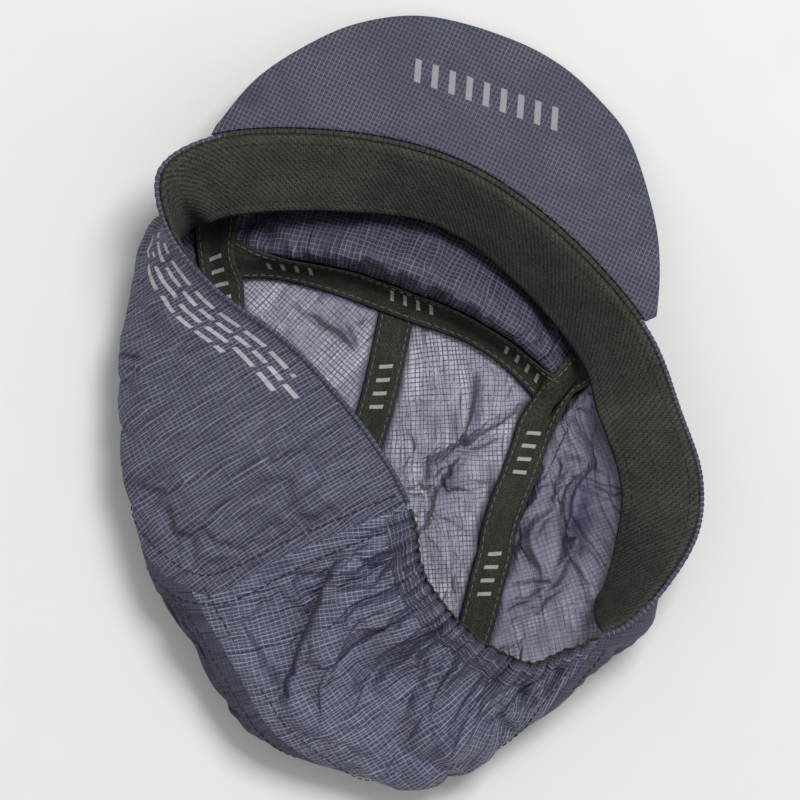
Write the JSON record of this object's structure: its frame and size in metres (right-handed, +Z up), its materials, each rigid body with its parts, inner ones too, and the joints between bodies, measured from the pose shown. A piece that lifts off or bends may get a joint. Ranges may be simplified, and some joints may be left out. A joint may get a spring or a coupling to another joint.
{
  "type": "cycling cap",
  "caption": "Soft cycling cap laid upside down on its crown, with a short curved peak, knitted sweatband, taped seams and gathered elastic at the rear.",
  "frame": {"origin": "bottom centre of the cap's box as it lies on its crown", "axes": "+Z up out of the opening, the peak points to -Y, the wearer's right is at +X"},
  "size_m": [0.2154, 0.2526, 0.0531],
  "materials": {
    "ripstop": "matt slate blue ripstop with a fine grid",
    "tape": "matt dark olive woven tape",
    "knit": "matt dark olive knit"
  },
  "bodies": {
    "root": {"peak": "ripstop", "front_panel": "ripstop", "right_side_panel": "ripstop", "left_side_panel": "ripstop", "right_top_panel": "ripstop", "left_top_panel": "ripstop", "rear_panel": "ripstop", "rim_hem": "ripstop", "elastic_casing": "ripstop", "cross_tape": "tape", "centre_tape": "tape", "right_side_tape": "tape", "left_side_tape": "tape", "sweatband": "knit"}
  },
  "joints": []
}
